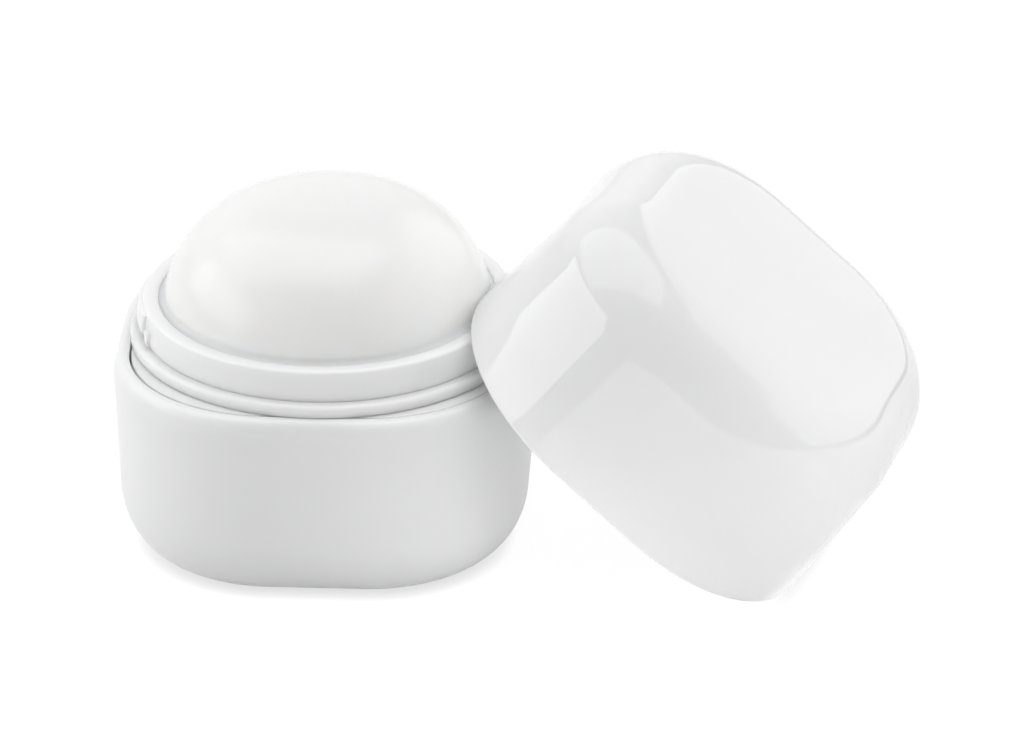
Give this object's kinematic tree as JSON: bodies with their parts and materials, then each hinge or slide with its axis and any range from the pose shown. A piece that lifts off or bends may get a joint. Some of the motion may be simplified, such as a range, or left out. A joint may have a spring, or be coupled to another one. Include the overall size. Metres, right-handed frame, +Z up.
{
  "type": "lip balm cube",
  "caption": "Square lip balm pot with round corners: a cup with a collar that holds a domed balm, and a lined cap that is taken off and leans against the collar.",
  "frame": {"origin": "middle of the base's flat foot, on the table", "axes": "+Z up along the base's axis, +X from the base towards the cap that leans beside it, +Y away from the viewer"},
  "size_m": [0.0711, 0.0429, 0.0351],
  "materials": {
    "satin_white": "satin moulded white plastic",
    "insert_white": "soft satin moulded white plastic",
    "wax_white": "smooth waxy white balm",
    "gloss_white": "polished moulded white plastic",
    "liner_white": "plain moulded white plastic"
  },
  "bodies": {
    "base": {"base_shell": "satin_white", "neck_insert": "insert_white", "balm": "wax_white"},
    "cap": {"cap_shell": "gloss_white", "cap_liner": "liner_white"}
  },
  "joints": [
    {"name": "cap_lift", "type": "slide", "parent": "base", "child": "cap", "axis": [0, 0, 1], "range_m": [0, 0.045]}
  ]
}
